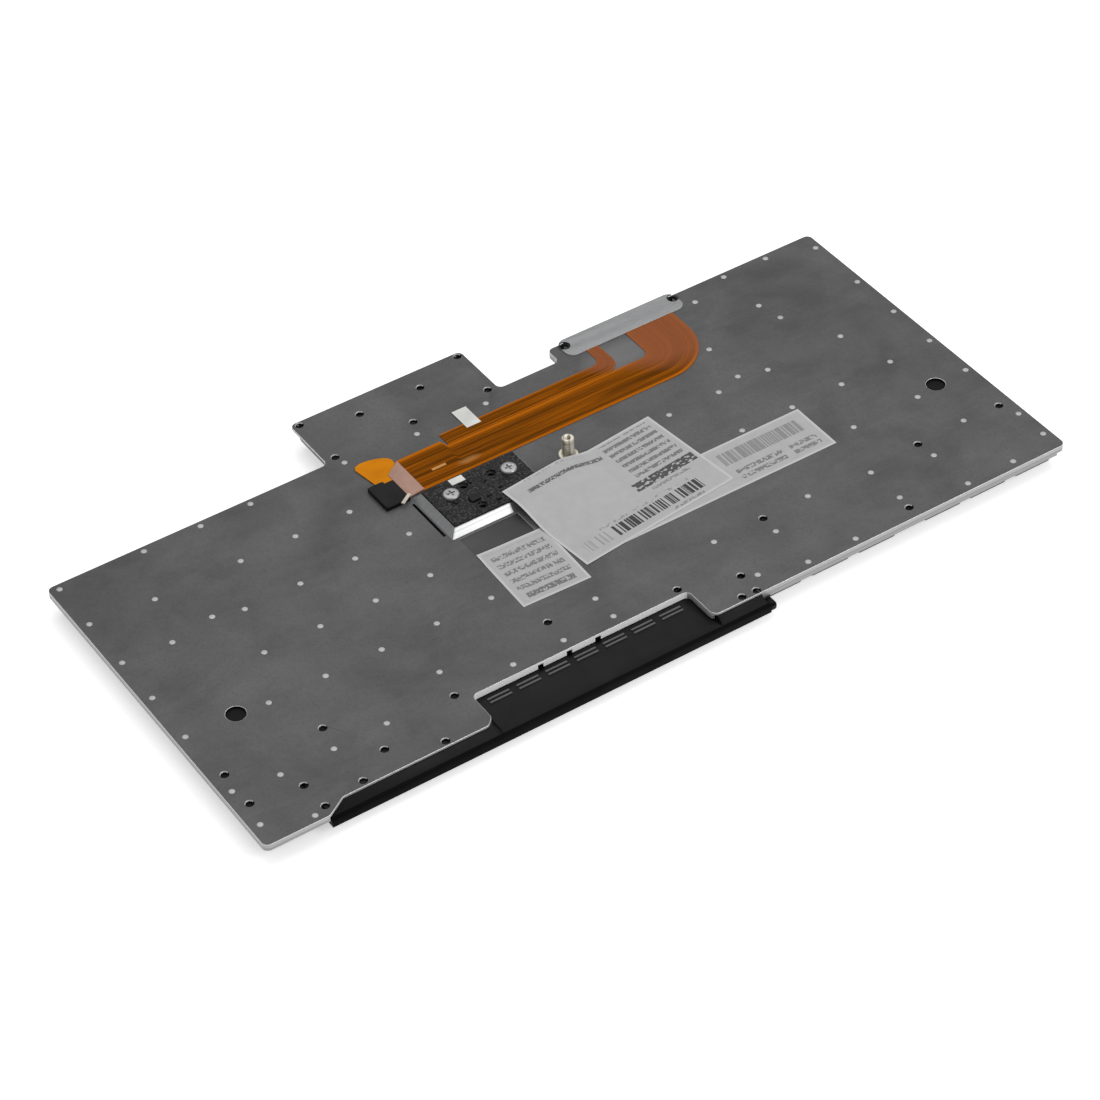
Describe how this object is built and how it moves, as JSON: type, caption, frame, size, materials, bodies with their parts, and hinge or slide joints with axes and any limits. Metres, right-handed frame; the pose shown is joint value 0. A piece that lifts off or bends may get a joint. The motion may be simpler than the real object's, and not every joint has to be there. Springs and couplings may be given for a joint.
{
  "type": "laptop replacement keyboard",
  "caption": "Flat laptop keyboard module lying keys down: steel base plate with rivets and ribbon cables, hollow key caps, rear button bar, and a pointing stick with its own buttons.",
  "frame": {"origin": "centre of the bounding box, in the plane of the key tops that it lies on", "axes": "+X from the left edge to the right edge of the key rows, +Y from the rear edge to the front edge, +Z from the key tops to the underside"},
  "size_m": [0.2866, 0.151, 0.0151],
  "materials": {
    "plate_steel": "mottled grey coat",
    "rivet_metal": "bright",
    "membrane_film": "translucent film",
    "dome_rubber": "soft",
    "bar_plastic": "satin",
    "bracket_steel": "bright pressed steel",
    "board_black": "black solder mask",
    "screw_steel": "plated",
    "post_plastic": "plain",
    "cap_red": "soft dotted",
    "post_brass": "turned",
    "clamp_metal": "satin",
    "flex_amber": "amber film over copper",
    "connector_black": "plain",
    "stiffener_pink": "clear film on ribbon",
    "tab_orange": "amber film",
    "tape_white": "paper tape",
    "label_paper": "matte paper",
    "key_plastic": "matte",
    "button_blue": "satin",
    "button_plastic": "satin"
  },
  "bodies": {
    "chassis": {"base_plate": "plate_steel", "plate_rivets": "rivet_metal", "membrane_sheet": "membrane_film", "letter_keys": "key_plastic", "function_keys": "key_plastic", "rubber_domes": "dome_rubber", "blanking_strips": "bar_plastic", "button_bar": "bar_plastic", "stick_bracket": "bracket_steel", "stick_board": "board_black", "stick_screws": "screw_steel", "stick_post": "post_plastic", "stick_cap": "cap_red", "mounting_post": "post_brass", "flex_clamp": "clamp_metal", "main_flex": "flex_amber", "stick_flex": "flex_amber", "board_connector": "connector_black", "flex_stiffener": "stiffener_pink", "pull_tab": "tab_orange", "tape_patches": "tape_white", "label_strip": "label_paper", "label_small": "label_paper", "label_large": "label_paper", "stick_button_frame": "bar_plastic"},
    "escape_key": {"key_escape": "key_plastic"},
    "backspace_key": {"key_backspace": "key_plastic"},
    "tab_key": {"key_tab": "key_plastic"},
    "backslash_key": {"key_backslash": "key_plastic"},
    "caps_key": {"key_caps": "key_plastic"},
    "index_left_key": {"key_index_left": "key_plastic"},
    "index_right_key": {"key_index_right": "key_plastic"},
    "enter_key": {"key_enter": "key_plastic"},
    "left_shift_key": {"key_left_shift": "key_plastic"},
    "right_shift_key": {"key_right_shift": "key_plastic"},
    "function_key": {"key_function": "key_plastic"},
    "left_control_key": {"key_left_control": "key_plastic"},
    "system_key": {"key_system": "key_plastic"},
    "left_alt_key": {"key_left_alt": "key_plastic"},
    "space_key": {"key_space": "key_plastic"},
    "right_alt_key": {"key_right_alt": "key_plastic"},
    "menu_key": {"key_menu": "key_plastic"},
    "right_control_key": {"key_right_control": "key_plastic"},
    "page_back_key": {"key_page_back": "key_plastic"},
    "arrow_up_key": {"key_arrow_up": "key_plastic"},
    "page_forward_key": {"key_page_forward": "key_plastic"},
    "arrow_left_key": {"key_arrow_left": "key_plastic"},
    "arrow_down_key": {"key_arrow_down": "key_plastic"},
    "arrow_right_key": {"key_arrow_right": "key_plastic"},
    "volume_down_knob": {"button_volume_down": "button_plastic"},
    "volume_up_knob": {"button_volume_up": "button_plastic"},
    "mute_knob": {"button_mute": "button_plastic"},
    "power_knob": {"button_power": "button_plastic"},
    "assist_knob": {"button_assist": "button_blue"},
    "stick_left_knob": {"stick_button_left": "button_plastic"},
    "stick_middle_knob": {"stick_button_middle": "button_plastic"},
    "stick_right_knob": {"stick_button_right": "button_plastic"}
  },
  "joints": [
    {"name": "escape_key_press", "type": "slide", "parent": "chassis", "child": "escape_key", "axis": [0, 0, 1], "range_m": [0, 0.0023], "stiffness_N_per_m": 150, "springref_m": -0.001},
    {"name": "backspace_key_press", "type": "slide", "parent": "chassis", "child": "backspace_key", "axis": [0, 0, 1], "range_m": [0, 0.0023], "stiffness_N_per_m": 150, "springref_m": -0.001},
    {"name": "tab_key_press", "type": "slide", "parent": "chassis", "child": "tab_key", "axis": [0, 0, 1], "range_m": [0, 0.0023], "stiffness_N_per_m": 150, "springref_m": -0.001},
    {"name": "backslash_key_press", "type": "slide", "parent": "chassis", "child": "backslash_key", "axis": [0, 0, 1], "range_m": [0, 0.0023], "stiffness_N_per_m": 150, "springref_m": -0.001},
    {"name": "caps_key_press", "type": "slide", "parent": "chassis", "child": "caps_key", "axis": [0, 0, 1], "range_m": [0, 0.0023], "stiffness_N_per_m": 150, "springref_m": -0.001},
    {"name": "index_left_key_press", "type": "slide", "parent": "chassis", "child": "index_left_key", "axis": [0, 0, 1], "range_m": [0, 0.0023], "stiffness_N_per_m": 150, "springref_m": -0.001},
    {"name": "index_right_key_press", "type": "slide", "parent": "chassis", "child": "index_right_key", "axis": [0, 0, 1], "range_m": [0, 0.0023], "stiffness_N_per_m": 150, "springref_m": -0.001},
    {"name": "enter_key_press", "type": "slide", "parent": "chassis", "child": "enter_key", "axis": [0, 0, 1], "range_m": [0, 0.0023], "stiffness_N_per_m": 150, "springref_m": -0.001},
    {"name": "left_shift_key_press", "type": "slide", "parent": "chassis", "child": "left_shift_key", "axis": [0, 0, 1], "range_m": [0, 0.0023], "stiffness_N_per_m": 150, "springref_m": -0.001},
    {"name": "right_shift_key_press", "type": "slide", "parent": "chassis", "child": "right_shift_key", "axis": [0, 0, 1], "range_m": [0, 0.0023], "stiffness_N_per_m": 150, "springref_m": -0.001},
    {"name": "function_key_press", "type": "slide", "parent": "chassis", "child": "function_key", "axis": [0, 0, 1], "range_m": [0, 0.0023], "stiffness_N_per_m": 150, "springref_m": -0.001},
    {"name": "left_control_key_press", "type": "slide", "parent": "chassis", "child": "left_control_key", "axis": [0, 0, 1], "range_m": [0, 0.0023], "stiffness_N_per_m": 150, "springref_m": -0.001},
    {"name": "system_key_press", "type": "slide", "parent": "chassis", "child": "system_key", "axis": [0, 0, 1], "range_m": [0, 0.0023], "stiffness_N_per_m": 150, "springref_m": -0.001},
    {"name": "left_alt_key_press", "type": "slide", "parent": "chassis", "child": "left_alt_key", "axis": [0, 0, 1], "range_m": [0, 0.0023], "stiffness_N_per_m": 150, "springref_m": -0.001},
    {"name": "space_key_press", "type": "slide", "parent": "chassis", "child": "space_key", "axis": [0, 0, 1], "range_m": [0, 0.0023], "stiffness_N_per_m": 150, "springref_m": -0.001, "deforming": ["rubber_domes"]},
    {"name": "right_alt_key_press", "type": "slide", "parent": "chassis", "child": "right_alt_key", "axis": [0, 0, 1], "range_m": [0, 0.0023], "stiffness_N_per_m": 150, "springref_m": -0.001},
    {"name": "menu_key_press", "type": "slide", "parent": "chassis", "child": "menu_key", "axis": [0, 0, 1], "range_m": [0, 0.0023], "stiffness_N_per_m": 150, "springref_m": -0.001},
    {"name": "right_control_key_press", "type": "slide", "parent": "chassis", "child": "right_control_key", "axis": [0, 0, 1], "range_m": [0, 0.0023], "stiffness_N_per_m": 150, "springref_m": -0.001},
    {"name": "page_back_key_press", "type": "slide", "parent": "chassis", "child": "page_back_key", "axis": [0, 0, 1], "range_m": [0, 0.0023], "stiffness_N_per_m": 150, "springref_m": -0.001},
    {"name": "arrow_up_key_press", "type": "slide", "parent": "chassis", "child": "arrow_up_key", "axis": [0, 0, 1], "range_m": [0, 0.0023], "stiffness_N_per_m": 150, "springref_m": -0.001},
    {"name": "page_forward_key_press", "type": "slide", "parent": "chassis", "child": "page_forward_key", "axis": [0, 0, 1], "range_m": [0, 0.0023], "stiffness_N_per_m": 150, "springref_m": -0.001},
    {"name": "arrow_left_key_press", "type": "slide", "parent": "chassis", "child": "arrow_left_key", "axis": [0, 0, 1], "range_m": [0, 0.0023], "stiffness_N_per_m": 150, "springref_m": -0.001},
    {"name": "arrow_down_key_press", "type": "slide", "parent": "chassis", "child": "arrow_down_key", "axis": [0, 0, 1], "range_m": [0, 0.0023], "stiffness_N_per_m": 150, "springref_m": -0.001},
    {"name": "arrow_right_key_press", "type": "slide", "parent": "chassis", "child": "arrow_right_key", "axis": [0, 0, 1], "range_m": [0, 0.0023], "stiffness_N_per_m": 150, "springref_m": -0.001},
    {"name": "volume_down_knob_press", "type": "slide", "parent": "chassis", "child": "volume_down_knob", "axis": [0, 0, 1], "range_m": [0, 0.0005], "stiffness_N_per_m": 400, "springref_m": -0.0005},
    {"name": "volume_up_knob_press", "type": "slide", "parent": "chassis", "child": "volume_up_knob", "axis": [0, 0, 1], "range_m": [0, 0.0005], "stiffness_N_per_m": 400, "springref_m": -0.0005},
    {"name": "mute_knob_press", "type": "slide", "parent": "chassis", "child": "mute_knob", "axis": [0, 0, 1], "range_m": [0, 0.0005], "stiffness_N_per_m": 400, "springref_m": -0.0005},
    {"name": "power_knob_press", "type": "slide", "parent": "chassis", "child": "power_knob", "axis": [0, 0, 1], "range_m": [0, 0.0005], "stiffness_N_per_m": 400, "springref_m": -0.0005},
    {"name": "assist_knob_press", "type": "slide", "parent": "chassis", "child": "assist_knob", "axis": [0, 0, 1], "range_m": [0, 0.0005], "stiffness_N_per_m": 400, "springref_m": -0.0005},
    {"name": "stick_left_knob_press", "type": "slide", "parent": "chassis", "child": "stick_left_knob", "axis": [0, 0, 1], "range_m": [0, 0.0009], "stiffness_N_per_m": 300, "springref_m": -0.0007},
    {"name": "stick_middle_knob_press", "type": "slide", "parent": "chassis", "child": "stick_middle_knob", "axis": [0, 0, 1], "range_m": [0, 0.0009], "stiffness_N_per_m": 300, "springref_m": -0.0007},
    {"name": "stick_right_knob_press", "type": "slide", "parent": "chassis", "child": "stick_right_knob", "axis": [0, 0, 1], "range_m": [0, 0.0009], "stiffness_N_per_m": 300, "springref_m": -0.0007}
  ]
}
